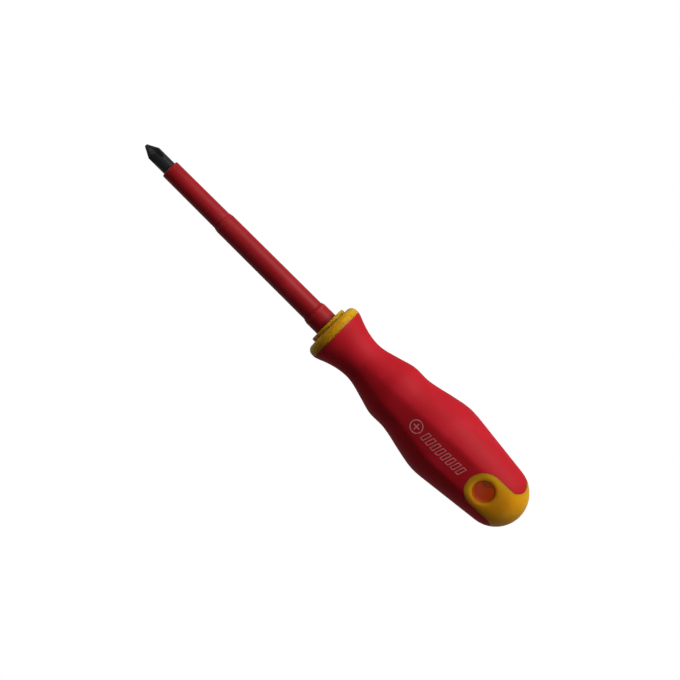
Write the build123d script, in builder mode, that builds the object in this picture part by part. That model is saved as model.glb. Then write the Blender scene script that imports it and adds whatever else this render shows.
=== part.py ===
"""Insulated cross-point screwdriver with a fixed blade, in millimetres.

The origin is the driver's point. +X runs along the blade, from the point to the butt, and +Z runs along the
hanging hole, so the tool lies with its two flat grip faces up and down.
"""

import os
from math import cos, radians, sin, sqrt, tan

from build123d import *

# Blade: a round steel bar with a cross point, and wings that key it into the handle
blade_diameter = 6.0
blade_exposed = 101.6  # from the point to the front ring
blade_buried = 62.0  # from the front ring to the bar's inner end
point_blunt_radius = 0.6
point_half_angle = 28.0
bar_end_chamfer = 0.8

# Four flutes, milled by a wheel that climbs out of the bar
flute_root_radius = 0.75  # from the axis to the flute's bottom, at the point
flute_root_slope = 5.75
flute_angle = 90.0
flute_bottom_fillet = 0.3
flute_straight = 5.0
flute_wheel_radius = 8.0

# Tang wings
wing_span = 9.6
wing_thickness = 1.8
wing_length = 14.0
wing_inset = 8.0  # from the bar's inner end
wing_corner_fillet = 1.5

# Blade insulation: two layers, the second one shorter, and the core's nose round both
bare_blade = 13.4
front_layer_wall = 1.0
front_layer_draft = 0.12
front_layer_edge_fillet = 0.6
second_layer_start = 43.0
second_layer_wall = 0.43
second_layer_draft = 0.15
nose_length = 7.6
nose_wall = 0.55
shoulder_length = 1.5
shoulder_edge = 0.12
insulation_buried = 8.0  # past the guard, and short of the neck

# Front ring and guard
front_ring_radius = 8.4
front_ring_length = 1.7
front_ring_fillet = 0.5
guard_radius = 12.6
guard_length = 4.0
guard_front_fillet = 2.7

# Handle outline: distance behind the guard, and radius
grip_flare = (3.7, 11.3)
grip_neck = (14.7, 8.95)
grip_throat = (24.7, 11.1)
finger_swell = (31.7, 12.9)
finger_waist = (39.7, 13.05)
palm_shoulder = (50.7, 15.4)
palm_swell = (58.7, 16.75)
taper_start = (65.2, 16.4)
taper_end = (91.2, 13.4)
lip_slope = -0.2

# Flat faces above and below the grip
facet_start = 23.0  # behind the guard
facet_depth = 0.95

# Walls
grip_wall = 1.8
body_wall = 1.8

# Hanging hole, and the butt's lobes round it
hole_from_guard = 84.9
hole_diameter = 8.0
hole_rim_fillet = 1.6
lobe_radius = 8.0
tongue_end = 96.3  # behind the guard
tongue_root_fillet = 2.8

# Derived places and radii
blade_radius = blade_diameter / 2
bar_end = blade_exposed + blade_buried
guard_front = blade_exposed + front_ring_length
handle_front = guard_front + guard_length
insulation_end = handle_front + insulation_buried
nose_start = blade_exposed - nose_length
nose_end = handle_front + grip_flare[0]
front_layer_radius = blade_radius + front_layer_wall + front_layer_draft
second_layer_radius = front_layer_radius + second_layer_wall + second_layer_draft
nose_radius = second_layer_radius + nose_wall
core_depth = grip_wall + body_wall
hole_center = handle_front + hole_from_guard
hole_radius = hole_diameter / 2
tongue_tip = handle_front + tongue_end
swell = [
    (0, guard_radius),
    grip_flare,
    grip_neck,
    grip_throat,
    finger_swell,
    finger_waist,
    palm_shoulder,
    palm_swell,
    taper_start,
]
taper_slope = (taper_end[1] - taper_start[1]) / (taper_end[0] - taper_start[0])
taper_slant = sqrt(1 + taper_slope**2)
beyond = 4 * guard_radius  # outside every piece


def dome_tip(depth):
    """Where the round butt, sunk by depth, meets the axis."""
    return handle_front + taper_end[0] + (taper_end[1] - depth) * (taper_slant + taper_slope)


def draw_handle(depth):
    """Half outline of the handle, sunk by depth below its skin."""
    stations = [(handle_front + place, radius - depth) for place, radius in swell]
    with BuildLine() as outline:
        side = Spline(stations, tangents=[(1, lip_slope), (1, taper_slope)])
        taper = Line(side @ 1, (handle_front + taper_end[0], taper_end[1] - depth))
        dome = TangentArc(taper @ 1, (dome_tip(depth), 0), tangent=taper % 1)
        Polyline(dome @ 1, (handle_front, 0), side @ 0)
    make_face(outline.edges())


def draw_above_facet(depth):
    """Side view of what the upper flat face, sunk by depth, leaves out."""
    deepening = facet_depth / (taper_start[0] - facet_start)
    stations = [
        (handle_front + place, radius - depth - deepening * (place - facet_start))
        for place, radius in swell[swell.index(grip_neck) :]
    ]
    end = (dome_tip(0), stations[-1][1] + taper_slope * (dome_tip(0) - stations[-1][0]))
    with BuildLine() as outline:
        face = Spline(stations, tangents=[(1, 0), (1, taper_slope)])
        rear = Line(face @ 1, end)
        Polyline(rear @ 1, (end[0], beyond), (stations[0][0], beyond), face @ 0)
    make_face(outline.edges())


def draw_layer(start, bore, front_radius, back_radius, end):
    """Half section of a blade layer whose front is a shoulder."""
    with BuildLine() as outline:
        Polyline(
            (start, bore),
            (start, bore + shoulder_edge),
            (start + shoulder_length, front_radius),
            (end, back_radius),
            (end, bore),
            close=True,
        )
    make_face(outline.edges())


# Blade
with BuildPart() as flute_wheel:
    root_height = flute_root_radius + flute_straight * tan(radians(flute_root_slope))
    leaving = Plane(
        origin=(flute_straight, 0, root_height),
        x_dir=(0, 1, 0),
        z_dir=(cos(radians(flute_root_slope)), 0, sin(radians(flute_root_slope))),
    )
    with BuildSketch(leaving):
        with BuildLine():
            half_mouth = blade_diameter * tan(radians(flute_angle / 2))
            Polyline((-half_mouth, blade_diameter), (0, 0), (half_mouth, blade_diameter), close=True)
        make_face()
        fillet(vertices().sort_by(Axis.Y)[0], flute_bottom_fillet)
    extrude(amount=-2 * flute_straight)
    wheel_axis = Axis(leaving.from_local_coords((0, flute_wheel_radius, 0)), (0, -1, 0))
    revolve(faces().sort_by(Axis.X)[-1], axis=wheel_axis, revolution_arc=60)

with BuildPart() as blade:
    with BuildSketch(Plane.XY):
        with BuildLine():
            cone_end = (blade_radius - point_blunt_radius) / tan(radians(point_half_angle))
            Polyline(
                (0, 0),
                (0, point_blunt_radius),
                (cone_end, blade_radius),
                (bar_end - bar_end_chamfer, blade_radius),
                (bar_end, blade_radius - bar_end_chamfer),
                (bar_end, 0),
                close=True,
            )
        make_face()
    revolve(axis=Axis.X)
    for quarter in range(4):
        add(flute_wheel.part, rotation=(45 + 90 * quarter, 0, 0), mode=Mode.SUBTRACT)
    with BuildSketch(Plane.XY):
        with Locations((bar_end - wing_inset - wing_length / 2, 0)):
            RectangleRounded(wing_length, wing_span, wing_corner_fillet)
    extrude(amount=wing_thickness / 2, both=True)
blade.part.label = "blade"

# Blade insulation
with BuildPart() as front_insulation:
    with BuildSketch(Plane.XY):
        with BuildLine():
            Polyline(
                (bare_blade, blade_radius),
                (bare_blade, blade_radius + front_layer_wall),
                (second_layer_start, front_layer_radius),
                (insulation_end, front_layer_radius),
                (insulation_end, blade_radius),
                close=True,
            )
        make_face()
        front_edge = vertices().group_by(Axis.X)[0].sort_by(Axis.Y)[-1]
        fillet(front_edge, min(front_layer_edge_fillet, 0.7 * front_layer_wall))
    revolve(axis=Axis.X)
front_insulation.part.label = "front_insulation"

with BuildPart() as rear_insulation:
    with BuildSketch(Plane.XY):
        draw_layer(
            second_layer_start,
            front_layer_radius,
            front_layer_radius + second_layer_wall,
            second_layer_radius,
            insulation_end,
        )
    revolve(axis=Axis.X)
rear_insulation.part.label = "rear_insulation"

# Handle skin: turned outline, flat faces and the hanging hole with its rounded rims
with BuildPart() as skin:
    with BuildSketch(Plane.XY):
        draw_handle(0)
    revolve(axis=Axis.X)
    with BuildSketch(Plane.XZ.offset(-beyond)):
        draw_above_facet(0)
        mirror(about=Plane.XZ)
    extrude(amount=2 * beyond, mode=Mode.SUBTRACT)
    with BuildSketch(Plane.XY):
        with Locations((hole_center, 0)):
            Circle(hole_radius)
    extrude(amount=beyond, both=True, mode=Mode.SUBTRACT)
    hole_rims = edges(Select.LAST).filter_by(GeomType.LINE, reverse=True)
    fillet(hole_rims, hole_rim_fillet)

with BuildPart() as under_grip:
    with BuildSketch(Plane.XY):
        draw_handle(grip_wall)
    revolve(axis=Axis.X)
    with BuildSketch(Plane.XZ.offset(-beyond)):
        draw_above_facet(grip_wall)
        mirror(about=Plane.XZ)
    extrude(amount=2 * beyond, mode=Mode.SUBTRACT)

# Plan of the butt: a lobe round the hole, and everything behind the grip's two tongues
with BuildPart() as butt_zone:
    with BuildSketch(Plane.XY):
        with Locations((hole_center, 0)):
            Circle(lobe_radius)
            Rectangle(beyond, 2 * lobe_radius, align=(Align.MIN, Align.CENTER))
        with Locations((tongue_tip, 0)):
            Rectangle(beyond, 2 * beyond, align=(Align.MIN, Align.CENTER))
        inner_corners = vertices().filter_by(lambda corner: abs(corner.X - tongue_tip) < 1e-3)
        fillet(inner_corners.sort_by(lambda corner: abs(corner.Y))[:2], tongue_root_fillet)
    extrude(amount=beyond, both=True)

# Handle
with BuildPart() as handle_core:
    with BuildSketch(Plane.XY):
        draw_handle(core_depth)
    revolve(axis=Axis.X)
    add(skin.part, mode=Mode.INTERSECT)
    with BuildSketch(Plane.XY):
        draw_layer(nose_start, second_layer_radius, nose_radius, nose_radius, nose_end)
    revolve(axis=Axis.X)
    for buried in (blade, front_insulation, rear_insulation):
        add(buried.part, mode=Mode.SUBTRACT)
handle_core.part.label = "handle_core"

with BuildPart() as handle_body:
    add(under_grip.part)
    add(butt_zone.part)
    add(skin.part, mode=Mode.INTERSECT)
    add(handle_core.part, mode=Mode.SUBTRACT)
    for buried in (blade, front_insulation, rear_insulation):
        add(buried.part, mode=Mode.SUBTRACT)
handle_body.part.label = "handle_body"

with BuildPart() as grip:
    add(skin.part)
    add(under_grip.part, mode=Mode.SUBTRACT)
    add(butt_zone.part, mode=Mode.SUBTRACT)
grip.part.label = "grip"

with BuildPart() as guard:
    with BuildSketch(Plane.YZ.offset(guard_front)):
        Circle(guard_radius)
        Circle(nose_radius, mode=Mode.SUBTRACT)
    extrude(amount=guard_length)
    front_rim = faces().sort_by(Axis.X)[0].outer_wire().edges()
    fillet(front_rim, guard_front_fillet)
guard.part.label = "guard"

with BuildPart() as front_ring:
    with BuildSketch(Plane.YZ.offset(blade_exposed)):
        Circle(front_ring_radius)
        Circle(nose_radius, mode=Mode.SUBTRACT)
    extrude(amount=front_ring_length)
    front_rim = faces().sort_by(Axis.X)[0].outer_wire().edges()
    fillet(front_rim, front_ring_fillet)
front_ring.part.label = "front_ring"

os.makedirs("parts", exist_ok=True)
pieces = (
    blade,
    front_insulation,
    rear_insulation,
    handle_core,
    handle_body,
    grip,
    guard,
    front_ring,
)
for piece in pieces:
    export_step(piece.part, f"parts/{piece.part.label}.step")
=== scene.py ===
"""Insulated screwdriver, dressed for a studio picture.

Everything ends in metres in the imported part's frame: the origin is the driver's point, +X runs to the butt
and +Z runs along the hanging hole. Shapes are worked out in millimetres, and finish_piece scales them.
"""

from math import cos, pi, radians, sin

import bmesh
import bpy
from mathutils import Matrix, Vector
from mathutils.bvhtree import BVHTree


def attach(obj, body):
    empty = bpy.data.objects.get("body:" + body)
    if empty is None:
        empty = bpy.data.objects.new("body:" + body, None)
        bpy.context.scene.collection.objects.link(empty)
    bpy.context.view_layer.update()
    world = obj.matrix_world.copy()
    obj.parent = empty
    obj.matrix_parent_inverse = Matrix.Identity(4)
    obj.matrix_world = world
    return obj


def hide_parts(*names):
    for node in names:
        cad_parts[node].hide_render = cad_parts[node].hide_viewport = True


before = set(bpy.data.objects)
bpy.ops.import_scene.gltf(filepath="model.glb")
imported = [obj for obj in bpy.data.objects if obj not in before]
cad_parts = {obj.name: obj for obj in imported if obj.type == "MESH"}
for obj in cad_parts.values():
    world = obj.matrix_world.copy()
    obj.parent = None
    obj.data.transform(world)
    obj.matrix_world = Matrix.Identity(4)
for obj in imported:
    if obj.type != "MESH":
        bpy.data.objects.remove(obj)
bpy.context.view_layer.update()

bl_info = {
    "name": "Insulated Screwdriver",
    "version": (1, 0, 0),
    "blender": (4, 5, 0),
    "location": "3D View > Sidebar > Screwdriver",
    "description": "Builds the pieces, finishes and stage of an insulated screwdriver",
    "category": "Object",
}

MM = 0.001
WELD = 0.001  # points closer than this, in millimetres, are merged
SLIVER = 0.004  # shorter edges, in millimetres, are closed up
ROOT = "root"


# ---------------------------------------------------------------- sizes, in millimetres

BAR_RADIUS = 3.0

# Blade insulation: the first layer, then the second one over it
SLEEVE_START = 13.4
SLEEVE_FRONT_RADIUS = 4.0
SLEEVE_MIDDLE = (28.0, 4.06)
SLEEVE_RADIUS = 4.12
SECOND_START = 43.0
SECOND_EDGE_RADIUS = 4.24
SECOND_FULL = 44.5
SECOND_FULL_RADIUS = 4.56
SECOND_MIDDLE = (80.0, 4.63)
SECOND_END_RADIUS = 4.70
INSULATION_END = 115.3
STEP_ROUNDING = 0.5

# Yellow collar: the front ring, then the guard, both round the core's nose
NOSE_RADIUS = 5.25
RING_FRONT = 101.6
RING_RADIUS = 8.4
GUARD_FRONT = 103.3
GUARD_BACK = 107.3
GUARD_RADIUS = 12.6
GUARD_BACK_ROUNDING = 0.15

# Half outline of the handle: place, radius and slope
OUTLINE = [
    (GUARD_BACK, GUARD_RADIUS, -0.20),
    (111.0, 11.30, -0.40),
    (122.0, 8.95, 0.0),
    (132.0, 11.10, 0.27),
    (139.0, 12.90, 0.10),
    (147.0, 13.05, 0.14),
    (158.0, 15.40, 0.21),
    (166.0, 16.75, 0.06),
    (172.5, 16.40, -0.115),
]
TAPER_SLOPE = -0.11538
TAPER_END = (198.5, 13.4)
DOME_ROUNDNESS = 0.508  # length of the dome's curve handles, as a part of its radius
CIRCLE_ROUNDNESS = 0.5523  # the same for a quarter circle
FACET_START = 130.3
FACET_FULL = 172.5
FACET_DEPTH = 0.95
FACET_CLEARANCE = 8.0  # further ahead than this there is nothing to press flat
FLAT_SINK = 0.04  # how far each flat sits under its nominal height on the axis
FLAT_CROWN = 0.004  # fall of the flat with the square of the distance from the axis
RIDGE_SOFTNESS = 0.35
BUTT_SOFTNESS = 1.15  # added to the ridges' softness towards the butt
BUTT_SOFT_START = 182.0
BUTT_SOFT_LENGTH = 12.0
GRIP_WALL = 1.8
BODY_WALL = 1.8
HOLE_CENTER = 192.2
HOLE_RADIUS = 4.0
HOLE_RINGS = [6.7, 6.3, 5.9, 5.5, 5.15, 4.85, 4.6, 4.4, 4.22, 4.1, 4.03, HOLE_RADIUS]
RIM_WIDTH = 2.3
RIM_DROP = 1.6
LOBE_RADIUS = 7.8
TONGUE_TIP = 204.2
FAR = 40.0  # well clear of the handle on any side
STEPS = 160  # steps round the handle
INNER_STEPS = 96  # steps round what doesn't show
HOLLOW_START = 100.0  # ahead of the handle, so that its front end is open
SHARP_EDGE = radians(50)
SHADING_EDGE = radians(38)

# Print: middle of the ring, and of the first bar
PRINT_RING = 155.2
PRINT_RING_RADIUS = 2.85
PRINT_HUB = 0.6  # half width of the cross, as a part of the line's width
PRINT_ARM = 1.3
PRINT_LONG_EDGE = 0.9  # longer edges are divided, to follow the skin
PRINT_BARS = 160.6
PRINT_BAR_HALF = (0.88, 2.0)
PRINT_SLANT = 0.28
PRINT_ROOT = 0.01  # how far the print starts under the skin

# Rubbed edges: place, radius and reach
GRIP_RIM = (GUARD_BACK, GUARD_RADIUS, 0.7)
GUARD_RIM = (103.6, 11.6, 1.6)
RING_RIM = (101.8, RING_RADIUS, 0.6)
SLEEVE_RIM = (13.6, 3.9, 0.9)
STEP_RIM = (44.0, 4.5, 0.9)
NOSE_RIM = (95.5, NOSE_RADIUS, 0.9)
BLADE_FLUTES = (3.2, 2.4, 2.6)
BLADE_TIP = (0.2, 0.6, 1.4)


# ---------------------------------------------------------------- stage, in metres

SENSOR_WIDTH = 36.0  # millimetres
AIM = (0.1098, 0.0, 0.0)
AIM_ASIDE = 0.0005
KEY_DISTANCE, KEY_SIZE = 0.75, 0.5
WEAK_DISTANCE, WEAK_SIZE = 0.8, 0.4
SURROUND_DIFFUSE = 0.035
SURROUND_GLOSSY = 0.28
FLOOR_GLOSSY = 0.45
FLOOR_GREY = (0.25, 0.25, 0.25, 1)
FLOOR_WHITE = (1.0, 1.0, 1.0)
FLOOR_HALF_SIZE = 1.5
FLOOR_TOUCH = (0.166, 0.0, -0.01597)  # under the palm swell
# Painted shadow on the floor under the handle, and a painted reddish shadow under the hanging hole, seen
# through it
CONTACT_MIDDLE = (0.163, -0.003)
CONTACT_REACH = (0.042, 0.010)
CONTACT_SHADE = (0.07, 0.05, 0.045)
CONTACT_FADE = (1.0, 0.72)  # parts of the reach where the shade starts and is full
UNDER_HOLE = (HOLE_CENTER * MM, -0.0035, -0.0175)
UNDER_HOLE_PAINTED_SHADOW = (0.11, 0.022, 0.006)
UNDER_HOLE_FADE = (0.0055, 0.0042)


# ---------------------------------------------------------------- settings


class ScrewdriverColours(bpy.types.PropertyGroup):
    """Base colours of the finishes"""

    grip_red: bpy.props.FloatVectorProperty(
        name="Grip red",
        description="Soft outer grip",
        subtype="COLOR",
        size=3,
        min=0.0,
        max=1.0,
        default=(0.56, 0.009, 0.020),
    )
    grip_red_deep: bpy.props.FloatVectorProperty(
        name="Grip red, deep",
        description="Darker swirls in the soft grip",
        subtype="COLOR",
        size=3,
        min=0.0,
        max=1.0,
        default=(0.50, 0.006, 0.014),
    )
    insulation_red: bpy.props.FloatVectorProperty(
        name="Insulation red",
        description="Blade insulation and the handle's core",
        subtype="COLOR",
        size=3,
        min=0.0,
        max=1.0,
        default=(0.42, 0.012, 0.018),
    )
    insulation_red_deep: bpy.props.FloatVectorProperty(
        name="Insulation red, deep",
        description="Darker swirls in the insulation",
        subtype="COLOR",
        size=3,
        min=0.0,
        max=1.0,
        default=(0.35, 0.008, 0.012),
    )
    moulding_yellow: bpy.props.FloatVectorProperty(
        name="Moulding yellow",
        description="Guard, front ring and butt",
        subtype="COLOR",
        size=3,
        min=0.0,
        max=1.0,
        default=(0.84, 0.38, 0.002),
    )
    moulding_yellow_deep: bpy.props.FloatVectorProperty(
        name="Moulding yellow, deep",
        description="Darker swirls in the yellow",
        subtype="COLOR",
        size=3,
        min=0.0,
        max=1.0,
        default=(0.78, 0.345, 0.0015),
    )
    oxide_black: bpy.props.FloatVectorProperty(
        name="Oxide black",
        description="Blackened steel of the blade",
        subtype="COLOR",
        size=3,
        min=0.0,
        max=1.0,
        default=(0.010, 0.010, 0.012),
    )
    bare_steel: bpy.props.FloatVectorProperty(
        name="Bare steel",
        description="Steel where the black has rubbed off",
        subtype="COLOR",
        size=3,
        min=0.0,
        max=1.0,
        default=(0.30, 0.30, 0.31),
    )
    # Painted glow: an emission colour that stands in for light reaching the hanging hole through the plastic
    # round it
    hole_painted_glow: bpy.props.FloatVectorProperty(
        name="Hole glow",
        description="Light carried into the hanging hole by the plastic round it",
        subtype="COLOR",
        size=3,
        min=0.0,
        max=1.0,
        default=(0.135, 0.016, 0.0008),
    )
    print_pink: bpy.props.FloatVectorProperty(
        name="Print",
        description="Thin print on the grip",
        subtype="COLOR",
        size=3,
        min=0.0,
        max=1.0,
        default=(0.80, 0.34, 0.34),
    )
    print_worn: bpy.props.FloatVectorProperty(
        name="Print, worn",
        description="Print where the grip shows through",
        subtype="COLOR",
        size=3,
        min=0.0,
        max=1.0,
        default=(0.62, 0.16, 0.17),
    )


class ScrewdriverSizes(bpy.types.PropertyGroup):
    """Roundings and thicknesses that the pieces are finished with"""

    sleeve_rounding: bpy.props.FloatProperty(
        name="Sleeve rounding",
        description="Rounded front edge of the insulation's first layer",
        unit="LENGTH",
        default=0.00055,
    )
    guard_rounding: bpy.props.FloatProperty(
        name="Guard rounding",
        description="Rounded front edge of the guard",
        unit="LENGTH",
        default=0.0027,
    )
    ring_rounding: bpy.props.FloatProperty(
        name="Ring rounding",
        description="Rounded front edge of the front ring",
        unit="LENGTH",
        default=0.0005,
    )
    ring_shift: bpy.props.FloatProperty(
        name="Ring shift",
        description="How far the front ring's outside sits to one side of the axis",
        unit="LENGTH",
        default=0.0003,
    )
    seam_rounding: bpy.props.FloatProperty(
        name="Seam rounding",
        description="Rounded edges where the grip meets the yellow shell",
        unit="LENGTH",
        default=0.0002,
    )
    print_line: bpy.props.FloatProperty(
        name="Print line",
        description="Width of the printed lines",
        unit="LENGTH",
        default=0.0004,
    )
    print_height: bpy.props.FloatProperty(
        name="Print height",
        description="How far the print stands above the grip",
        unit="LENGTH",
        default=0.00004,
    )
    bar_pitch: bpy.props.FloatProperty(
        name="Bar pitch",
        description="Spacing of the printed bars",
        unit="LENGTH",
        default=0.00275,
    )
    bar_count: bpy.props.IntProperty(
        name="Bars",
        description="Number of printed bars",
        default=8,
        min=1,
        max=12,
    )


def in_mm(name):
    """One of the sizes, in millimetres."""
    return getattr(bpy.context.scene.screwdriver_sizes, name) / MM


class ScrewdriverStage(bpy.types.PropertyGroup):
    """Camera, lights and floor"""

    camera_roll: bpy.props.FloatProperty(
        name="Lean",
        description="How far the flat face leans away from the camera",
        subtype="ANGLE",
        default=radians(14.2),
    )
    camera_turn: bpy.props.FloatProperty(
        name="Camera turn",
        description="Clockwise turn of the camera about its own view",
        subtype="ANGLE",
        default=radians(0.16),
    )
    camera_distance: bpy.props.FloatProperty(
        name="Camera distance",
        description="From the camera to the tool's axis",
        unit="LENGTH",
        default=1.0,
    )
    picture_width: bpy.props.FloatProperty(
        name="Picture width",
        description="Width of the picture at the tool",
        unit="LENGTH",
        default=0.2715,
    )
    key_power: bpy.props.FloatProperty(
        name="Key light",
        description="Power of the large softbox",
        unit="POWER",
        default=6.8,
    )
    fill_power: bpy.props.FloatProperty(
        name="Fill light",
        description="Power of the weak fill light",
        unit="POWER",
        default=0.5,
    )
    front_power: bpy.props.FloatProperty(
        name="Front light",
        description="Power of the weak light on the front of the guard",
        unit="POWER",
        default=1.5,
    )
    floor_slope: bpy.props.FloatProperty(
        name="Floor slope",
        description="Tilt of the floor under the guard and the palm swell",
        subtype="ANGLE",
        default=radians(3.2),
    )


# ---------------------------------------------------------------- finishes

# Painted glow and painted shade of the hanging hole: distances from its axis, in metres, where each starts
# and is full
HOLE_SHADE = (0.0052, 0.0042)
HOLE_GLOW = (0.0045, 0.0041)
# Colour of the painted shade on the hole's wall
HOLE_PAINTED_SHADE = (0.28, 0.05, 0.002)
SHELL_GLOW_STRENGTH = 0.8
CORE_GLOW = (0.170, 0.175)  # along the tool, so that the nose doesn't glow
NO_GLOW = (0.0, 0.0, 0.0)

# Butt seam: along the tool, in metres
SEAM_START = 0.18
SEAM_END = 0.2022
SEAM_DIRT = (0.05, 0.012, 0.006)

# Light scattered inside the yellow plastic, in metres and for red, green and blue
SCATTER = (1.0, 0.85, 0.2)
SCATTER_SCALE = 0.006

FLOAT = "NodeSocketFloat"
VECTOR = "NodeSocketVector"


def add_node(tree, kind, **inputs):
    """A node of that kind, with values for its named inputs."""
    node = tree.nodes.new(kind)
    for name, value in inputs.items():
        node.inputs[name.replace("_", " ")].default_value = value
    return node


def calc(tree, operation, first, second=0.0, third=0.0):
    """A Math node's result; each value is a number or another node's output."""
    node = tree.nodes.new("ShaderNodeMath")
    node.operation = operation
    for socket, value in zip(node.inputs, (first, second, third)):
        if isinstance(value, bpy.types.NodeSocket):
            tree.links.new(value, socket)
        else:
            socket.default_value = value
    return node.outputs[0]


def faded(tree, value, start, end):
    """One where the value is at or past end, nothing at start, and smooth between them."""
    node = tree.nodes.new("ShaderNodeMapRange")
    node.interpolation_type = "SMOOTHSTEP"
    for name, given in (("From Min", start), ("From Max", end)):
        if isinstance(given, bpy.types.NodeSocket):
            tree.links.new(given, node.inputs[name])
        else:
            node.inputs[name].default_value = given
    tree.links.new(value, node.inputs["Value"])
    return node.outputs["Result"]


def tinted(tree, mask, base, over):
    """A colour laid over another one by a mask."""
    node = tree.nodes.new("ShaderNodeMix")
    node.data_type = "RGBA"
    sockets = {s.identifier: s for s in node.inputs}
    for name, value in (("A_Color", base), ("B_Color", over)):
        if isinstance(value, bpy.types.NodeSocket):
            tree.links.new(value, sockets[name])
        else:
            sockets[name].default_value = (*value, 1)
    tree.links.new(mask, sockets["Factor_Float"])
    return next(s for s in node.outputs if s.identifier == "Result_Color")


def noise(tree, vector, scale, detail=2.0, distortion=0.0, stretch=None):
    """Noise in the piece's own place, from 0 to 1."""
    node = add_node(tree, "ShaderNodeTexNoise", Scale=scale, Detail=detail, Distortion=distortion)
    if stretch:
        mapping = add_node(tree, "ShaderNodeMapping", Scale=stretch)
        tree.links.new(vector, mapping.inputs["Vector"])
        vector = mapping.outputs["Vector"]
    tree.links.new(vector, node.inputs["Vector"])
    return node.outputs["Fac"]


def length_of(tree, first, second):
    """The length of a flat vector."""
    squares = [calc(tree, "MULTIPLY", value, value) for value in (first, second)]
    return calc(tree, "SQRT", calc(tree, "ADD", *squares))


def new_group(name, inputs, outputs):
    """An empty shader node group, its given sockets and its output node."""
    tree = bpy.data.node_groups.new(name, "ShaderNodeTree")
    for label, kind, default in inputs:
        tree.interface.new_socket(label, in_out="INPUT", socket_type=kind).default_value = default
    for label, kind in outputs:
        tree.interface.new_socket(label, in_out="OUTPUT", socket_type=kind)
    given = tree.nodes.new("NodeGroupInput").outputs
    return tree, given, tree.nodes.new("NodeGroupOutput").inputs


def mould_grain():
    """Group: fine grain of a moulded surface, and slow swirls of its colour and gloss."""
    tree, given, result = new_group(
        "Mould Grain",
        [("Vector", VECTOR, (0, 0, 0)), ("Fineness", FLOAT, 2500.0), ("Swirl Scale", FLOAT, 70.0)],
        [("Height", FLOAT), ("Swirl", FLOAT)],
    )
    for name, detail, socket in (("Fineness", 3.0, "Height"), ("Swirl Scale", 4.0, "Swirl")):
        node = add_node(tree, "ShaderNodeTexNoise", Detail=detail, Distortion=0.6)
        tree.links.new(given["Vector"], node.inputs["Vector"])
        tree.links.new(given[name], node.inputs["Scale"])
        tree.links.new(node.outputs["Fac"], result[socket])


def handling_dust():
    """Group: patchy dust and skin marks left by handling."""
    tree, given, result = new_group(
        "Handling Dust",
        [("Vector", VECTOR, (0, 0, 0)), ("Amount", FLOAT, 0.3)],
        [("Mask", FLOAT)],
    )
    patches = noise(tree, given["Vector"], 45.0, 5.0, 1.2)
    specks = noise(tree, given["Vector"], 900.0, 2.0)
    worn = faded(tree, patches, 0.48, 0.75)
    specked = calc(tree, "MULTIPLY", worn, faded(tree, specks, 0.35, 0.7))
    tree.links.new(calc(tree, "MULTIPLY", specked, given["Amount"]), result["Mask"])


def turned_edge_wear():
    """Group: rubbed band on the edge of a turned shape, at a place along the axis and a radius."""
    tree, given, result = new_group(
        "Turned Edge Wear",
        [
            ("Vector", VECTOR, (0, 0, 0)),
            ("Place", FLOAT, 0.0),
            ("Radius", FLOAT, 0.01),
            ("Reach", FLOAT, 0.001),
        ],
        [("Mask", FLOAT)],
    )
    axes = tree.nodes.new("ShaderNodeSeparateXYZ")
    tree.links.new(given["Vector"], axes.inputs[0])
    radius = length_of(tree, axes.outputs["Y"], axes.outputs["Z"])
    aside = calc(tree, "SUBTRACT", radius, given["Radius"])
    along = calc(tree, "SUBTRACT", axes.outputs["X"], given["Place"])
    distance = length_of(tree, aside, along)
    band = calc(tree, "SUBTRACT", 1.0, faded(tree, distance, 0.0, given["Reach"]))
    patchy = faded(tree, noise(tree, given["Vector"], 700.0, 4.0, 0.5), 0.35, 0.62)
    tree.links.new(calc(tree, "MULTIPLY", band, patchy), result["Mask"])


def butt_seam():
    """Group: fine dirt line where the soft grip meets the yellow shell round the lobes."""
    tree, given, result = new_group(
        "Butt Seam",
        [("Vector", VECTOR, (0, 0, 0)), ("Width", FLOAT, 0.0005)],
        [("Mask", FLOAT)],
    )
    axes = tree.nodes.new("ShaderNodeSeparateXYZ")
    tree.links.new(given["Vector"], axes.inputs[0])
    ahead = calc(tree, "MINIMUM", calc(tree, "SUBTRACT", axes.outputs["X"], HOLE_CENTER * MM), 0.0)
    reach = length_of(tree, ahead, axes.outputs["Y"])
    distance = calc(tree, "ABSOLUTE", calc(tree, "SUBTRACT", reach, LOBE_RADIUS * MM))
    line = calc(tree, "SUBTRACT", 1.0, faded(tree, distance, 0.0, given["Width"]))
    before_tips = calc(tree, "LESS_THAN", axes.outputs["X"], SEAM_END)
    near_lobe = calc(tree, "GREATER_THAN", axes.outputs["X"], SEAM_START)
    kept = calc(tree, "MULTIPLY", calc(tree, "MULTIPLY", line, before_tips), near_lobe)
    tree.links.new(kept, result["Mask"])


def parting_line():
    """Group: raised flash where the mould's halves met, along both sides of the tool."""
    tree, given, result = new_group(
        "Parting Line",
        [("Vector", VECTOR, (0, 0, 0)), ("Width", FLOAT, 0.00018)],
        [("Height", FLOAT)],
    )
    axes = tree.nodes.new("ShaderNodeSeparateXYZ")
    tree.links.new(given["Vector"], axes.inputs[0])
    off = calc(tree, "ABSOLUTE", axes.outputs["Z"])
    tree.links.new(calc(tree, "SUBTRACT", 1.0, faded(tree, off, 0.0, given["Width"])), result["Height"])


def placed(tree, name, vector, **values):
    """One of the shared groups, placed in a material with its own values."""
    node = tree.nodes.new("ShaderNodeGroup")
    node.node_tree = bpy.data.node_groups[name]
    tree.links.new(vector, node.inputs["Vector"])
    for label, value in values.items():
        node.inputs[label.replace("_", " ")].default_value = value
    return node.outputs


def new_finish(name, specular):
    """A new material's nodes and shader, and the piece's own place to build patterns on."""
    material = bpy.data.materials.new(name)
    material.use_nodes = True
    tree = material.node_tree
    shader = tree.nodes["Principled BSDF"].inputs
    shader["Specular IOR Level"].default_value = specular
    return tree, shader, tree.nodes.new("ShaderNodeTexCoord").outputs["Object"]


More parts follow.
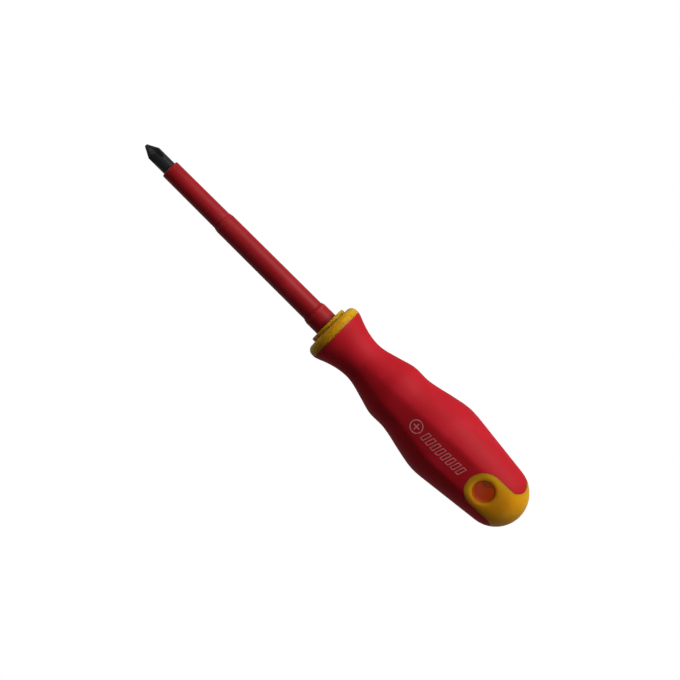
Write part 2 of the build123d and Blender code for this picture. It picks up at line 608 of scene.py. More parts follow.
def bumped(tree, shader, *layers):
    """Stack bump layers, each a height and its depth in metres."""
    normal = None
    for height, depth in layers:
        bump = add_node(tree, "ShaderNodeBump", Strength=1.0, Distance=depth)
        tree.links.new(height, bump.inputs["Height"])
        if normal:
            tree.links.new(normal, bump.inputs["Normal"])
        normal = bump.outputs["Normal"]
    tree.links.new(normal, shader["Normal"])


def centred(tree, value, spread):
    """Noise from 0 to 1 as a small number either side of nothing."""
    return calc(tree, "MULTIPLY_ADD", value, 2 * spread, -spread)


def rubbed_edge(tree, place, rim):
    """The wear on one rubbed edge, given as its place, radius and reach in millimetres."""
    spot, radius, reach = (size * MM for size in rim)
    return placed(tree, "Turned Edge Wear", place, Place=spot, Radius=radius, Reach=reach)["Mask"]


def hole_painted_shade_and_glow(tree, shader, place, tone, glow):
    """Paint shade on the plastic round the hanging hole and a painted glow inside it; returns the colour."""
    axes = tree.nodes.new("ShaderNodeSeparateXYZ")
    tree.links.new(place, axes.inputs[0])
    ahead = calc(tree, "SUBTRACT", axes.outputs["X"], HOLE_CENTER * MM)
    distance = length_of(tree, ahead, axes.outputs["Y"])
    # painted shade on the hole's wall, and a painted glow that stands in for light inside the hole
    painted_shade_mask = faded(tree, distance, *HOLE_SHADE)
    painted_glow = tinted(tree, faded(tree, distance, *HOLE_GLOW), NO_GLOW, glow)
    tree.links.new(painted_glow, shader["Emission Color"])
    shader["Emission Strength"].default_value = SHELL_GLOW_STRENGTH
    return tinted(tree, painted_shade_mask, tone, HOLE_PAINTED_SHADE)


def moulded(
    name, colour, deep, roughness, specular, fineness, grain, dust, rims, seam=0.0, parting=0.0, glow=None
):
    """A moulded plastic: grain, swirls, dust, rubbed edges, and any seam, parting line, or painted shade and
    painted glow in the hanging hole.
    """
    tree, shader, place = new_finish(name, specular)
    grained = placed(tree, "Mould Grain", place, Fineness=fineness)
    marks = placed(tree, "Handling Dust", place, Amount=dust)["Mask"]
    tone = tinted(tree, faded(tree, grained["Swirl"], 0.3, 0.7), deep, colour)
    rubbed = rubbed_edge(tree, place, rims[0])
    for rim in rims[1:]:
        rubbed = calc(tree, "MAXIMUM", rubbed, rubbed_edge(tree, place, rim))
    lighter = tuple(min(1.0, c * 1.25 + 0.03) for c in colour)
    dusty = tuple(0.75 * c + 0.10 for c in colour)
    tone = tinted(tree, calc(tree, "MULTIPLY", rubbed, 0.6), tone, lighter)
    tone = tinted(tree, marks, tone, dusty)
    layers = [(grained["Height"], grain)]
    if seam:
        line = placed(tree, "Butt Seam", place)["Mask"]
        tone = tinted(tree, calc(tree, "MULTIPLY", line, seam), tone, SEAM_DIRT)
    # painted shade on the hole's wall and a painted glow inside the hanging hole
    if glow:
        tone = hole_painted_shade_and_glow(tree, shader, place, tone, glow)
    if parting:
        layers.append((placed(tree, "Parting Line", place)["Height"], parting))
    tree.links.new(tone, shader["Base Color"])
    gloss = calc(tree, "ADD", centred(tree, grained["Swirl"], 0.06), roughness)
    gloss = calc(tree, "ADD", gloss, calc(tree, "MULTIPLY", marks, 0.3))
    tree.links.new(gloss, shader["Roughness"])
    bumped(tree, shader, *layers)
    return tree, shader, place


def make_grip_rubber(tone):
    """Soft grip: matt, with a fine mould grain and a parting line."""
    moulded(
        "Grip Rubber",
        tone.grip_red,
        tone.grip_red_deep,
        roughness=0.62,
        specular=0.15,
        fineness=2600.0,
        grain=0.00002,
        dust=0.05,
        rims=[GRIP_RIM],
        seam=0.2,
        parting=0.00004,
    )


def make_yellow_moulding(tone):
    """Guard, front ring and shell: satin, lit from within where it is thin, with a painted shade and a
    painted glow in the hanging hole.
    """
    _, shader, _ = moulded(
        "Yellow Moulding",
        tone.moulding_yellow,
        tone.moulding_yellow_deep,
        roughness=0.5,
        specular=0.1,
        fineness=2600.0,
        grain=0.00001,
        dust=0.06,
        rims=[GUARD_RIM, RING_RIM],
        seam=0.12,
        parting=0.00004,
        glow=tone.hole_painted_glow,
    )
    shader["Subsurface Weight"].default_value = 1.0
    shader["Subsurface Radius"].default_value = SCATTER
    shader["Subsurface Scale"].default_value = SCATTER_SCALE


def make_blade_insulation(tone):
    """Blade insulation: smooth, with faint streaks along the blade from its moulding."""
    tree, shader, place = moulded(
        "Blade Insulation",
        tone.insulation_red,
        tone.insulation_red_deep,
        roughness=0.45,
        specular=0.16,
        fineness=4000.0,
        grain=0.000002,
        dust=0.10,
        rims=[SLEEVE_RIM, STEP_RIM],
    )
    streaks = noise(tree, place, 1.0, 4.0, stretch=(18.0, 1400.0, 1400.0))
    grained = shader["Normal"].links[0].from_node
    bump = add_node(tree, "ShaderNodeBump", Strength=1.0, Distance=0.000004)
    tree.links.new(streaks, bump.inputs["Height"])
    tree.links.new(grained.outputs["Normal"], bump.inputs["Normal"])
    tree.links.new(bump.outputs["Normal"], shader["Normal"])


def make_handle_core(tone):
    """Rigid core: it shows as the nose, and as the wall of the hanging hole, which gets a painted glow
    behind the nose.
    """
    tree, shader, place = moulded(
        "Handle Core",
        tone.insulation_red,
        tone.insulation_red_deep,
        roughness=0.5,
        specular=0.15,
        fineness=3000.0,
        grain=0.000005,
        dust=0.10,
        rims=[NOSE_RIM],
    )
    axes = tree.nodes.new("ShaderNodeSeparateXYZ")
    tree.links.new(place, axes.inputs[0])
    # Painted glow: emission on the core behind the nose, standing in for light inside the hanging hole
    behind = faded(tree, axes.outputs["X"], *CORE_GLOW)
    tree.links.new(tinted(tree, behind, NO_GLOW, tone.hole_painted_glow), shader["Emission Color"])
    shader["Emission Strength"].default_value = 1.0


def make_black_steel(tone):
    """Blackened steel: brushed along the bar, and worn a little on the point and flutes."""
    tree, shader, place = new_finish("Black Oxide Steel", 0.22)
    oxide = placed(tree, "Mould Grain", place, Fineness=5000.0, Swirl_Scale=400.0)
    flutes = rubbed_edge(tree, place, BLADE_FLUTES)
    tip = rubbed_edge(tree, place, BLADE_TIP)
    worn = calc(tree, "MULTIPLY", calc(tree, "MAXIMUM", flutes, tip), 0.14)
    brushed = noise(tree, place, 1.0, 3.0, stretch=(60.0, 2500.0, 2500.0))
    greyer = tuple(2.2 * c for c in tone.oxide_black)
    black = tinted(tree, oxide["Swirl"], tone.oxide_black, greyer)
    tree.links.new(tinted(tree, worn, black, tone.bare_steel), shader["Base Color"])
    tree.links.new(worn, shader["Metallic"])
    tree.links.new(calc(tree, "ADD", centred(tree, brushed, 0.12), 0.36), shader["Roughness"])
    bumped(tree, shader, (oxide["Height"], 0.000004), (brushed, 0.000006))


def make_grip_print(tone):
    """Print: thin ink that the grip shows through where it has worn."""
    tree, shader, place = new_finish("Grip Print", 0.2)
    kept = faded(tree, noise(tree, place, 2500.0, 3.0), 0.25, 0.6)
    tree.links.new(tinted(tree, kept, tone.print_worn, tone.print_pink), shader["Base Color"])
    tree.links.new(calc(tree, "ADD", centred(tree, kept, 0.1), 0.6), shader["Roughness"])


def make_finishes():
    """Build the shared groups, then each of the tool's finishes."""
    for build in (mould_grain, handling_dust, turned_edge_wear, butt_seam, parting_line):
        build()
    tone = bpy.context.scene.screwdriver_colours
    for make in (
        make_grip_rubber,
        make_yellow_moulding,
        make_blade_insulation,
        make_handle_core,
        make_black_steel,
        make_grip_print,
    ):
        make(tone)


# ---------------------------------------------------------------- mesh helpers


def finish_piece(name, bm, finish, slot, *nodes):
    """Turn a bmesh in millimetres into a piece that stands for those CAD nodes."""
    bmesh.ops.remove_doubles(bm, verts=bm.verts, dist=SLIVER)
    bmesh.ops.dissolve_degenerate(bm, edges=bm.edges, dist=SLIVER)
    bmesh.ops.triangulate(bm, faces=[f for f in bm.faces if len(f.verts) > 4])
    bm.transform(Matrix.Scale(MM, 4))
    mesh = bpy.data.meshes.new(name)
    bm.to_mesh(mesh)
    bm.free()
    mesh.shade_smooth()
    mesh.set_sharp_from_angle(angle=SHADING_EDGE)
    mesh.materials.append(finish)
    piece = bpy.data.objects.new(name, mesh)
    bpy.context.scene.collection.objects.link(piece)
    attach(piece, ROOT)
    if nodes:
        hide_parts(*nodes)
    return piece


def turned(bm, steps, axis, center):
    """Spin the bmesh's line once round the axis, and close its seam and poles."""
    geometry = bm.verts[:] + bm.edges[:]
    bmesh.ops.spin(
        bm, geom=geometry, cent=center, axis=axis, angle=2 * pi, steps=steps, use_merge=True
    )
    bmesh.ops.remove_doubles(bm, verts=bm.verts, dist=WELD)
    bmesh.ops.recalc_face_normals(bm, faces=bm.faces)


def line_of(points):
    """A bmesh holding an open line in the XY plane."""
    bm = bmesh.new()
    verts = [bm.verts.new((x, r, 0)) for x, r in points]
    for a, b in zip(verts, verts[1:]):
        bm.edges.new((a, b))
    return bm


def soften(bm, width, segments, sharper_than, chosen=None):
    """Round the edges that are sharper than an angle."""
    edges = [
        e
        for e in bm.edges
        if e.is_manifold and e.calc_face_angle(0) > sharper_than and (chosen is None or chosen(e))
    ]
    bmesh.ops.bevel(
        bm,
        geom=edges,
        offset=width,
        offset_type="OFFSET",
        segments=segments,
        profile=0.5,
        affect="EDGES",
        material=-1,
        clamp_overlap=True,
    )


def curve_mesh(name, points, closed, extrude=0.0, resolution=10):
    """A bmesh from a Bezier line; each point is (place, handle before, handle after)."""
    data = bpy.data.curves.new(name, "CURVE")
    data.dimensions = "2D" if closed else "3D"
    data.resolution_u = resolution
    data.extrude = extrude
    if closed:
        data.fill_mode = "BOTH"
    spline = data.splines.new("BEZIER")
    spline.use_cyclic_u = closed
    spline.bezier_points.add(len(points) - 1)
    for knot, (place, before, after) in zip(spline.bezier_points, points):
        knot.handle_left_type = knot.handle_right_type = "FREE"
        knot.co = (*place, 0)
        knot.handle_left = (*before, 0)
        knot.handle_right = (*after, 0)
    return evaluated(bpy.data.objects.new(name, data))


def evaluated(helper):
    """The finished mesh of a helper object as a bmesh; the helper is removed."""
    bpy.context.scene.collection.objects.link(helper)
    depsgraph = bpy.context.evaluated_depsgraph_get()
    depsgraph.update()
    mesh = bpy.data.meshes.new_from_object(helper.evaluated_get(depsgraph))
    bm = bmesh.new()
    bm.from_mesh(mesh)
    bpy.data.objects.remove(helper)
    bpy.data.meshes.remove(mesh)
    return bm


def combined(base, tool, operation):
    """The union, difference or intersection of two closed bmeshes, which it uses up."""
    helpers = []
    for name, bm in (("Base", base), ("Tool", tool)):
        mesh = bpy.data.meshes.new(name)
        bm.to_mesh(mesh)
        bm.free()
        helpers.append(bpy.data.objects.new(name, mesh))
    bpy.context.scene.collection.objects.link(helpers[1])
    modifier = helpers[0].modifiers.new("Cut", "BOOLEAN")
    modifier.operation = operation
    modifier.solver = "EXACT"
    modifier.object = helpers[1]
    result = evaluated(helpers[0])
    bpy.data.objects.remove(helpers[1])
    return result


# ---------------------------------------------------------------- handle shapes


def handle_solid(sink, steps, start=OUTLINE[0][0]):
    """The handle's outline, sunk by a depth, turned and pressed flat above and below."""
    knots = []
    for i, (place, radius, slope) in enumerate(OUTLINE):
        before = (place - OUTLINE[max(i - 1, 0)][0]) / 3
        after = (OUTLINE[i + 1][0] - place) / 3 if i + 1 < len(OUTLINE) else 1.0
        r = radius - sink
        knots.append(((place, r), (place - before, r - before * slope), (place + after, r + after * slope)))
    x, r = TAPER_END[0], TAPER_END[1] - sink
    slant = (1 + TAPER_SLOPE**2) ** 0.5
    arm = DOME_ROUNDNESS * r
    knots.append(((x, r), (x - 1, r - TAPER_SLOPE), (x + arm, r + arm * TAPER_SLOPE)))
    tip = x + r * (slant + TAPER_SLOPE)
    knots.append(((tip, 0), (tip, arm), (tip, -arm)))
    bm = curve_mesh("Outline", knots, closed=False)
    first = min(bm.verts, key=lambda v: v.co.x)
    if start < first.co.x - 0.01:
        lowered = bm.verts.new((start, first.co.y, 0))
        bm.edges.new((first, lowered))
        first = lowered
    foot = bm.verts.new((start, 0, 0))
    bm.edges.new((first, foot))
    turned(bm, steps, (1, 0, 0), (0, 0, 0))
    press_flats(bm, sink)
    return bm


def soft_lower(a, b, reach):
    """The lower of two heights, rounded where they cross."""
    near = max(reach - abs(a - b), 0) / reach
    return min(a, b) - near * near * reach / 4


def press_flats(bm, sink):
    """Flatten the top and bottom behind the neck, with soft ridges."""
    full_height = OUTLINE[-1][1] - FACET_DEPTH
    deepening = FACET_DEPTH / (FACET_FULL - FACET_START)
    for v in bm.verts:
        x, y, z = v.co
        if x < FACET_START - FACET_CLEARANCE or abs(z) < 1:
            continue
        if x < FACET_FULL:
            radius = (y * y + z * z) ** 0.5
            flat = radius - deepening * (x - FACET_START)
        else:
            flat = full_height - sink + TAPER_SLOPE * (x - FACET_FULL)
        flat -= FLAT_SINK + FLAT_CROWN * y * y
        behind = min(max((x - BUTT_SOFT_START) / BUTT_SOFT_LENGTH, 0), 1)
        reach = RIDGE_SOFTNESS + BUTT_SOFTNESS * behind * behind * (3 - 2 * behind)
        v.co.z = soft_lower(abs(z), flat, reach) * (1 if z > 0 else -1)


def butt_zone():
    """Plan of the butt as a tall block: a lobe round the hole, and all behind the tongues."""
    lobe, arm = LOBE_RADIUS, CIRCLE_ROUNDNESS * LOBE_RADIUS
    side = []
    for s in (1, -1):
        half = [
            ((HOLE_CENTER, s * lobe), (HOLE_CENTER - arm, s * lobe), (HOLE_CENTER + 2, s * lobe)),
            ((200.9, s * lobe), (198.9, s * lobe), (202.7, s * lobe)),
            ((TONGUE_TIP, s * 10.0), (TONGUE_TIP - 0.1, s * 9.1), (TONGUE_TIP, s * 10.9)),
            ((201.0, s * 12.9), (202.6, s * 12.5), (199.9, s * 13.2)),
            ((199.0, s * 25), (199.0, s * 16), (205, s * 25)),
            ((240.0, s * 25), (230, s * 25), (240, s * 20)),
        ]
        side.append(half)
    nose = ((HOLE_CENTER - lobe, 0), (HOLE_CENTER - lobe, -arm), (HOLE_CENTER - lobe, arm))
    back = [(place, after, before) for place, before, after in reversed(side[1])]
    bm = curve_mesh("Zone", [nose, *side[0], *back], closed=True, extrude=FAR, resolution=14)
    bmesh.ops.remove_doubles(bm, verts=bm.verts, dist=WELD)
    bmesh.ops.recalc_face_normals(bm, faces=bm.faces)
    return bm


def hole_cutter(skin):
    """The hanging hole with a rounded rim that follows the skin on both sides."""
    tree = BVHTree.FromBMesh(skin)
    upper = [(0, FAR), (HOLE_RINGS[0], FAR)] + [(r, 1.0) for r in HOLE_RINGS]
    bm = bmesh.new()
    profile = upper + [(r, -h) for r, h in reversed(upper)]
    verts = [bm.verts.new((HOLE_CENTER + r, 0, h)) for r, h in profile]
    for a, b in zip(verts, verts[1:]):
        bm.edges.new((a, b))
    turned(bm, INNER_STEPS, (0, 0, 1), (HOLE_CENTER, 0, 0))
    outer = HOLE_RADIUS + RIM_WIDTH
    for v in bm.verts:
        if abs(v.co.z) > 2:
            continue
        ring = ((v.co.x - HOLE_CENTER) ** 2 + v.co.y**2) ** 0.5
        sign = 1 if v.co.z > 0 else -1
        hit = tree.ray_cast(Vector((v.co.x, v.co.y, FAR * sign)), Vector((0, 0, -sign)))[0]
        inward = min(max((outer - ring) / RIM_WIDTH, 0), 1)
        drop = RIM_DROP * (1 - (1 - inward**2) ** 0.5) if ring < outer + 0.1 else -0.06
        v.co.z = hit.z - drop * sign
    bmesh.ops.recalc_face_normals(bm, faces=bm.faces)
    return bm


def skin_cuts():
    """The handle's skin, and the tools that cut the hole into it."""
    skin = handle_solid(0, STEPS)
    return skin, hole_cutter(skin)


def on_skin(skin):
    """A test of whether an edge lies on the handle's skin."""
    tree = BVHTree.FromBMesh(skin)
    return lambda edge: all(tree.find_nearest(v.co)[3] < 0.02 for v in edge.verts)


def ring_of(name, profile, finish, slot, node, softness, steps=128, lift=None):
    """A turned piece with rounded edges; the profile is a closed line of places and radii."""
    bm = line_of([*profile, profile[0]])
    bmesh.ops.remove_doubles(bm, verts=bm.verts, dist=WELD)
    turned(bm, steps, (1, 0, 0), (0, 0, 0))
    for width, segments, chosen in softness:
        soften(bm, width, segments, radians(3), chosen)
    if lift:
        lift(bm)
    return finish_piece(name, bm, finish, slot, node)


def near(place, radius, reach=0.2):
    """A test of whether an edge runs round the axis at a place and radius."""
    return lambda edge: all(
        abs(v.co.x - place) < reach and abs((v.co.y**2 + v.co.z**2) ** 0.5 - radius) < reach
        for v in edge.verts
    )


class SCREWDRIVER_OT_finishes(bpy.types.Operator):
    """Make the finishes that the pieces share"""

    bl_idname = "screwdriver.finishes"
    bl_label = "Finishes"

    def execute(self, context):
        make_finishes()
        return {"FINISHED"}


class SCREWDRIVER_OT_blade(bpy.types.Operator):
    """Dress the fluted steel bar and the handle's core in their own finishes"""

    bl_idname = "screwdriver.blade"
    bl_label = "Blade and core"

    def execute(self, context):
        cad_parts["blade"].material_slots[0].material = bpy.data.materials["Black Oxide Steel"]
        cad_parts["handle_core"].material_slots[0].material = bpy.data.materials["Handle Core"]
        return {"FINISHED"}


class SCREWDRIVER_OT_insulation(bpy.types.Operator):
    """Turn the two layers of blade insulation, with softened steps"""

    bl_idname = "screwdriver.insulation"
    bl_label = "Blade insulation"

    def execute(self, context):
        red = bpy.data.materials["Blade Insulation"]
        end = INSULATION_END
        front = [
            (SLEEVE_START, BAR_RADIUS),
            (SLEEVE_START, SLEEVE_FRONT_RADIUS),
            SLEEVE_MIDDLE,
            (SECOND_START, SLEEVE_RADIUS),
            (end, SLEEVE_RADIUS),
            (end, BAR_RADIUS),
        ]
        edge = [(in_mm("sleeve_rounding"), 5, near(SLEEVE_START, SLEEVE_FRONT_RADIUS))]
        ring_of("front_sleeve", front, red, "blade_insulation", "front_insulation", edge)
        rear = [
            (SECOND_START, SLEEVE_RADIUS),
            (SECOND_START, SECOND_EDGE_RADIUS),
            (SECOND_FULL, SECOND_FULL_RADIUS),
            SECOND_MIDDLE,
            (end, SECOND_END_RADIUS),
            (end, SLEEVE_RADIUS),
        ]
        edge = [(STEP_ROUNDING, 3, near(SECOND_FULL, SECOND_FULL_RADIUS))]
        ring_of("rear_sleeve", rear, red, "blade_insulation", "rear_insulation", edge)
        return {"FINISHED"}


class SCREWDRIVER_OT_collar(bpy.types.Operator):
    """Turn the yellow guard and the front ring"""

    bl_idname = "screwdriver.collar"
    bl_label = "Guard and front ring"

    def execute(self, context):
        yellow = bpy.data.materials["Yellow Moulding"]
        guard = [
            (GUARD_FRONT, NOSE_RADIUS),
            (GUARD_FRONT, GUARD_RADIUS),
            (GUARD_BACK, GUARD_RADIUS),
            (GUARD_BACK, NOSE_RADIUS),
        ]
        rounds = [
            (in_mm("guard_rounding"), 10, near(GUARD_FRONT, GUARD_RADIUS)),
            (GUARD_BACK_ROUNDING, 2, near(GUARD_BACK, GUARD_RADIUS, 0.05)),
        ]
        ring_of("guard_flange", guard, yellow, "yellow_moulding", "guard", rounds, STEPS)

        def shift(bm):
            middle = (NOSE_RADIUS + RING_RADIUS) / 2
            outer = [v for v in bm.verts if (v.co.y**2 + v.co.z**2) ** 0.5 > middle]
            bmesh.ops.translate(bm, verts=outer, vec=(0, in_mm("ring_shift"), 0))

        ring = [
            (RING_FRONT, NOSE_RADIUS),
            (RING_FRONT, RING_RADIUS),
            (GUARD_FRONT, RING_RADIUS),
            (GUARD_FRONT, NOSE_RADIUS),
        ]
        rounds = [(in_mm("ring_rounding"), 4, near(RING_FRONT, RING_RADIUS))]
        ring_of("collar_ring", ring, yellow, "yellow_moulding", "front_ring", rounds, 128, shift)
        return {"FINISHED"}


class SCREWDRIVER_OT_grip(bpy.types.Operator):
    """Mould the soft grip with its two tongues"""

    bl_idname = "screwdriver.grip"
    bl_label = "Soft grip"

    def execute(self, context):
        skin = handle_solid(0, STEPS)
        outside = on_skin(skin)
        grip = combined(skin, handle_solid(GRIP_WALL, STEPS, HOLLOW_START), "DIFFERENCE")
        grip = combined(grip, butt_zone(), "DIFFERENCE")
        soften(grip, in_mm("seam_rounding"), 2, SHARP_EDGE, outside)
        finish_piece("grip_sleeve", grip, bpy.data.materials["Grip Rubber"], "soft_grip", "grip")
        return {"FINISHED"}


class SCREWDRIVER_OT_shell(bpy.types.Operator):
    """Mould the yellow shell with its butt, its lobes and the hanging hole"""

    bl_idname = "screwdriver.shell"
    bl_label = "Yellow shell"

    def execute(self, context):
        skin, hole = skin_cuts()
        outside = on_skin(skin)
        shell = combined(skin, butt_zone(), "INTERSECT")
        shell = combined(shell, handle_solid(GRIP_WALL, STEPS), "UNION")
        shell = combined(shell, hole, "DIFFERENCE")
        shell = combined(shell, handle_solid(GRIP_WALL + BODY_WALL, INNER_STEPS, HOLLOW_START), "DIFFERENCE")
        soften(shell, in_mm("seam_rounding"), 2, SHARP_EDGE, outside)
        yellow = bpy.data.materials["Yellow Moulding"]
        finish_piece("handle_shell", shell, yellow, "yellow_moulding", "handle_body")
        return {"FINISHED"}


class SCREWDRIVER_OT_print(bpy.types.Operator):
    """Lay a thin generic print, a cross in a ring and a row of slanted bars, on the upper flat"""

    bl_idname = "screwdriver.print"
    bl_label = "Grip print"

    def execute(self, context):
        line = in_mm("print_line")
        middle = Vector((PRINT_RING, 0, 0))
        bm = bmesh.new()
        disc = bmesh.ops.create_circle(
            bm, cap_ends=True, radius=PRINT_RING_RADIUS, segments=48, matrix=Matrix.Translation(middle)
        )
        face = disc["verts"][0].link_faces[0]
        bmesh.ops.inset_individual(bm, faces=[face], thickness=line)
        bmesh.ops.delete(bm, geom=[face], context="FACES_ONLY")
        hub = bmesh.ops.create_grid(
            bm, x_segments=1, y_segments=1, size=PRINT_HUB * line, matrix=Matrix.Translation(middle)
        )
        for edge in hub["verts"][0].link_faces[0].edges[:]:
            outward = ((edge.verts[0].co + edge.verts[1].co) / 2 - middle).normalized()
            arm = bmesh.ops.extrude_edge_only(bm, edges=[edge])["geom"]
            tips = [v for v in arm if isinstance(v, bmesh.types.BMVert)]
            bmesh.ops.translate(bm, verts=tips, vec=PRINT_ARM * outward)
        slant = Matrix.Identity(4)
        slant[0][1] = PRINT_SLANT
        for i in range(context.scene.screwdriver_sizes.bar_count):
            spot = Matrix.Translation((PRINT_BARS + in_mm("bar_pitch") * i, 0, 0))
            shape = Matrix.Diagonal((*PRINT_BAR_HALF, 1, 1))
            bar = bmesh.ops.create_grid(
                bm, x_segments=1, y_segments=1, size=1.0, matrix=spot @ slant @ shape
            )
            face = bar["verts"][0].link_faces[0]
            bmesh.ops.inset_individual(bm, faces=[face], thickness=line)
            bmesh.ops.delete(bm, geom=[face], context="FACES_ONLY")
        bmesh.ops.subdivide_edges(
            bm, edges=[e for e in bm.edges if e.calc_length() > PRINT_LONG_EDGE], cuts=4, use_grid_fill=True
        )
        skin = handle_solid(0, STEPS)
        tree = BVHTree.FromBMesh(skin)
        skin.free()
        for v in bm.verts:
            hit = tree.ray_cast(Vector((v.co.x, v.co.y, FAR)), Vector((0, 0, -1)))[0]
            v.co.z = hit.z - PRINT_ROOT
        raised = bmesh.ops.extrude_face_region(bm, geom=bm.faces[:])
        tops = [v for v in raised["geom"] if isinstance(v, bmesh.types.BMVert)]
        bmesh.ops.translate(bm, verts=tops, vec=(0, 0, in_mm("print_height") + PRINT_ROOT))
        bmesh.ops.recalc_face_normals(bm, faces=bm.faces)
        finish_piece("grip_print", bm, bpy.data.materials["Grip Print"], "soft_grip")
        return {"FINISHED"}


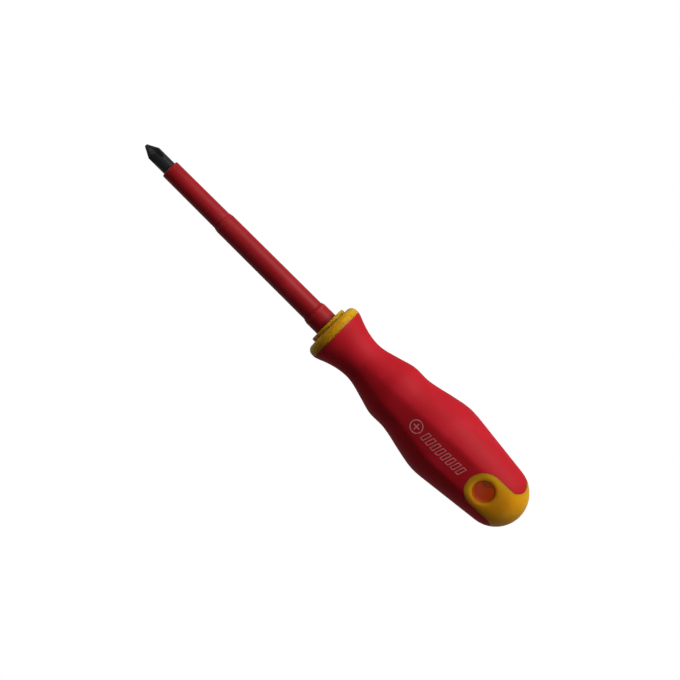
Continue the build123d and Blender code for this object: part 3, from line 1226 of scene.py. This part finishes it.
class SCREWDRIVER_OT_stage(bpy.types.Operator):
    """Make the camera, the lights and the pale floor, with painted shadows under the handle and under the
    hanging hole
    """

    bl_idname = "screwdriver.stage"
    bl_label = "Stage"

    def execute(self, context):
        scene = context.scene
        scene.view_settings.view_transform = "Standard"
        settings = scene.screwdriver_stage
        lean = settings.camera_roll
        along = Vector((1, 0, 0))
        back = Vector((0, sin(lean), cos(lean)))
        side = Vector((0, cos(lean), -sin(lean)))
        right = (along + side).normalized()
        up = (side - along).normalized()
        turn = Matrix.Rotation(-settings.camera_turn, 3, back)
        right, up = turn @ right, turn @ up
        aim = Vector(AIM) - AIM_ASIDE * side
        camera = bpy.data.objects.new("Camera", bpy.data.cameras.new("Camera"))
        camera.data.lens = SENSOR_WIDTH * settings.camera_distance / settings.picture_width
        camera.data.clip_start = 0.01
        facing = Matrix((right, up, back)).transposed().to_4x4()
        camera.matrix_world = Matrix.Translation(aim + back * settings.camera_distance) @ facing
        scene.collection.objects.link(camera)
        scene.camera = camera

        def softbox(name, direction, distance, size, power):
            data = bpy.data.lights.new(name, "AREA")
            data.shape = "RECTANGLE"
            data.size = data.size_y = size
            data.energy = power
            lamp = bpy.data.objects.new(name, data)
            direction = direction.normalized()
            lamp.location = aim + direction * distance
            lamp.rotation_mode = "QUATERNION"
            lamp.rotation_quaternion = direction.to_track_quat("Z", "X")
            scene.collection.objects.link(lamp)

        key = 0.44 * back + 0.90 * side + 0.22 * along
        front = 0.08 * back - 0.05 * side - along
        fill = 0.35 * back - 0.25 * side + 0.9 * along
        softbox("Key", key, KEY_DISTANCE, KEY_SIZE, settings.key_power)
        softbox("Front", front, WEAK_DISTANCE, WEAK_SIZE, settings.front_power)
        softbox("Fill", fill, WEAK_DISTANCE, WEAK_SIZE, settings.fill_power)

        world = bpy.data.worlds.new("Studio")
        scene.world = world
        world.use_nodes = True
        tree = world.node_tree
        tree.nodes.clear()
        path = tree.nodes.new("ShaderNodeLightPath").outputs
        surround = calc(tree, "MULTIPLY_ADD", path["Is Glossy Ray"], SURROUND_GLOSSY, SURROUND_DIFFUSE)
        brightness = calc(tree, "MAXIMUM", path["Is Camera Ray"], surround)
        studio = add_node(tree, "ShaderNodeBackground", Color=(1, 1, 1, 1))
        out = tree.nodes.new("ShaderNodeOutputWorld")
        tree.links.new(brightness, studio.inputs["Strength"])
        tree.links.new(studio.outputs[0], out.inputs["Surface"])

        bm = bmesh.new()
        bmesh.ops.create_grid(bm, x_segments=8, y_segments=8, size=FLOOR_HALF_SIZE)
        tilt = Matrix.Rotation(settings.floor_slope, 4, "Y")
        bm.transform(Matrix.Translation(FLOOR_TOUCH) @ tilt)
        mesh = bpy.data.meshes.new("Floor")
        bm.to_mesh(mesh)
        bm.free()
        floor = bpy.data.objects.new("Floor", mesh)
        scene.collection.objects.link(floor)
        material = bpy.data.materials.new("Pale Floor")
        material.use_nodes = True
        tree = material.node_tree
        tree.nodes.clear()
        path = tree.nodes.new("ShaderNodeLightPath").outputs
        place = tree.nodes.new("ShaderNodeTexCoord").outputs["Object"]
        x, y = CONTACT_REACH
        shrunk = add_node(tree, "ShaderNodeMapping", Scale=(1 / x, 1 / y, 1.0))
        shrunk.inputs["Location"].default_value = (-CONTACT_MIDDLE[0] / x, -CONTACT_MIDDLE[1] / y, 0.0)
        tree.links.new(place, shrunk.inputs["Vector"])
        spread = tree.nodes.new("ShaderNodeVectorMath")
        spread.operation = "LENGTH"
        tree.links.new(shrunk.outputs["Vector"], spread.inputs[0])
        # Painted shadow under the handle, then a painted reddish shadow under the hanging hole, seen through
        # it
        under_handle = faded(tree, spread.outputs["Value"], *CONTACT_FADE)
        pale = tinted(tree, under_handle, FLOOR_WHITE, CONTACT_SHADE)
        from_hole = tree.nodes.new("ShaderNodeVectorMath")
        from_hole.operation = "DISTANCE"
        from_hole.inputs[1].default_value = UNDER_HOLE
        tree.links.new(place, from_hole.inputs[0])
        under_hole = faded(tree, from_hole.outputs["Value"], *UNDER_HOLE_FADE)
        pale = tinted(tree, under_hole, pale, UNDER_HOLE_PAINTED_SHADOW)
        shade = add_node(tree, "ShaderNodeEmission")
        tree.links.new(pale, shade.inputs["Color"])
        mirrored = calc(tree, "MULTIPLY", path["Is Glossy Ray"], FLOOR_GLOSSY)
        tree.links.new(calc(tree, "MAXIMUM", path["Is Camera Ray"], mirrored), shade.inputs["Strength"])
        dull = add_node(tree, "ShaderNodeBsdfDiffuse", Color=FLOOR_GREY)
        direct = calc(tree, "MAXIMUM", path["Is Camera Ray"], path["Is Glossy Ray"])
        above = tree.nodes.new("ShaderNodeMixShader")
        tree.links.new(direct, above.inputs[0])
        tree.links.new(dull.outputs[0], above.inputs[1])
        tree.links.new(shade.outputs[0], above.inputs[2])
        below = tree.nodes.new("ShaderNodeMixShader")
        tree.links.new(tree.nodes.new("ShaderNodeNewGeometry").outputs["Backfacing"], below.inputs[0])
        tree.links.new(above.outputs[0], below.inputs[1])
        tree.links.new(tree.nodes.new("ShaderNodeBsdfTransparent").outputs[0], below.inputs[2])
        out = tree.nodes.new("ShaderNodeOutputMaterial")
        tree.links.new(below.outputs[0], out.inputs["Surface"])
        mesh.materials.append(material)
        return {"FINISHED"}


class SCREWDRIVER_PT_panel(bpy.types.Panel):
    """Sizes, colours and build steps of the screwdriver"""

    bl_idname = "SCREWDRIVER_PT_panel"
    bl_label = "Insulated Screwdriver"
    bl_space_type = "VIEW_3D"
    bl_region_type = "UI"
    bl_category = "Screwdriver"

    def draw(self, context):
        for operator in OPERATORS:
            self.layout.operator(operator.bl_idname)
        for label in ("screwdriver_sizes", "screwdriver_colours", "screwdriver_stage"):
            group = getattr(context.scene, label)
            box = self.layout.box()
            for setting in type(group).__annotations__:
                box.prop(group, setting)


OPERATORS = (
    SCREWDRIVER_OT_finishes,
    SCREWDRIVER_OT_blade,
    SCREWDRIVER_OT_insulation,
    SCREWDRIVER_OT_collar,
    SCREWDRIVER_OT_grip,
    SCREWDRIVER_OT_shell,
    SCREWDRIVER_OT_print,
    SCREWDRIVER_OT_stage,
)
CLASSES = (ScrewdriverColours, ScrewdriverSizes, ScrewdriverStage, *OPERATORS, SCREWDRIVER_PT_panel)


def register():
    for cls in CLASSES:
        bpy.utils.register_class(cls)
    bpy.types.Scene.screwdriver_colours = bpy.props.PointerProperty(type=ScrewdriverColours)
    bpy.types.Scene.screwdriver_sizes = bpy.props.PointerProperty(type=ScrewdriverSizes)
    bpy.types.Scene.screwdriver_stage = bpy.props.PointerProperty(type=ScrewdriverStage)


def unregister():
    del bpy.types.Scene.screwdriver_colours
    del bpy.types.Scene.screwdriver_sizes
    del bpy.types.Scene.screwdriver_stage
    for cls in reversed(CLASSES):
        bpy.utils.unregister_class(cls)


def main():
    register()
    bpy.ops.screwdriver.finishes()
    bpy.ops.screwdriver.blade()
    bpy.ops.screwdriver.insulation()
    bpy.ops.screwdriver.collar()
    bpy.ops.screwdriver.grip()
    bpy.ops.screwdriver.shell()
    bpy.ops.screwdriver.print()
    bpy.ops.screwdriver.stage()


if __name__ == "__main__":
    main()
